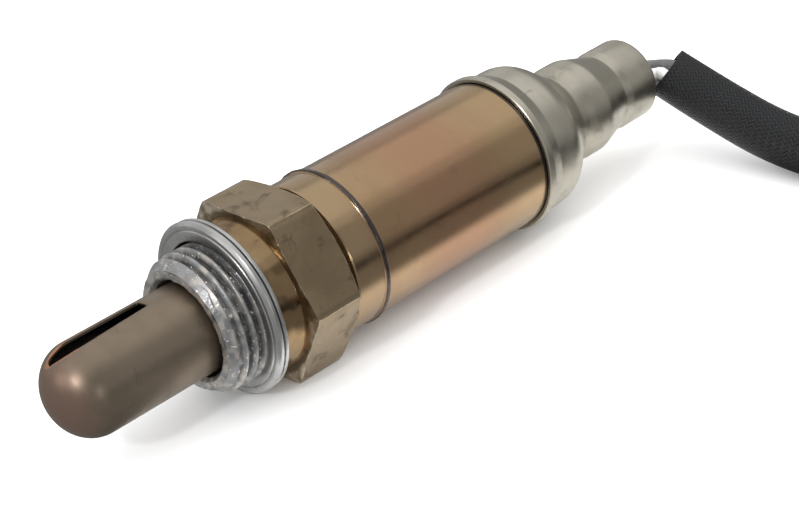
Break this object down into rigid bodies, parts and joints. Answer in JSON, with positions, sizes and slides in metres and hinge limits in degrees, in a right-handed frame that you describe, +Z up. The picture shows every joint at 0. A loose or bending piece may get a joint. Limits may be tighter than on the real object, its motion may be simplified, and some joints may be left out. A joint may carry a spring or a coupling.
{
  "type": "oxygen_sensor",
  "caption": "Screw-in exhaust oxygen sensor with slotted protection tube, hexagon shell, sleeve, rolled rear cap and a braided lead with a plug",
  "frame": {"origin": "on the sensor's axis, at the rear end of the thread, just ahead of the seal ring", "axes": "+X along the axis from the nose to the lead, +Z up from the surface the sensor lies on"},
  "size_m": [0.1131, 0.1646, 0.0228],
  "materials": {
    "shell_steel": "heat tinted olive brown, mottled",
    "ring_steel": "bright pressed sheet",
    "tube_steel": "heat tinted grey brown",
    "sleeve_steel": "copper heat tint",
    "cap_steel": "satin",
    "spring_steel": "plain",
    "terminal_metal": "tin plated",
    "ceramic": "unglazed ceramic",
    "heater_ceramic": "fired ceramic",
    "powder": "pressed powder",
    "grommet_rubber": "matte",
    "seal_rubber": "matte",
    "wire_white": "wire insulation",
    "wire_grey": "wire insulation",
    "braid": "coated braid",
    "tie_plastic": "moulded",
    "shrink_sleeve": "shrunk",
    "plug_plastic": "moulded",
    "lock_plastic": "moulded"
  },
  "bodies": {
    "root": {"sensor_shell": "shell_steel", "seal_ring": "ring_steel", "protection_tube": "tube_steel", "sensing_thimble": "ceramic", "thimble_washer": "spring_steel", "packing_powder": "powder", "packing_bush": "ceramic", "crimp_ring": "spring_steel", "heater_rod": "heater_ceramic", "signal_contact": "spring_steel", "contact_holder": "ceramic", "holder_spring": "spring_steel", "heater_terminals": "terminal_metal", "signal_terminals": "terminal_metal", "protective_sleeve": "sleeve_steel", "rear_cap": "cap_steel", "wire_grommet": "grommet_rubber", "heater_wires": "wire_white", "signal_wires": "wire_grey", "lead_sheath": "braid", "lead_coil": "braid", "lead_tail": "braid", "coil_tie": "tie_plastic", "end_sleeve": "shrink_sleeve", "plug_wires": "wire_white", "plug_housing": "plug_plastic", "plug_lock": "lock_plastic", "plug_nose_seal": "seal_rubber", "plug_rear_seal": "seal_rubber", "plug_terminals": "terminal_metal"}
  },
  "joints": []
}
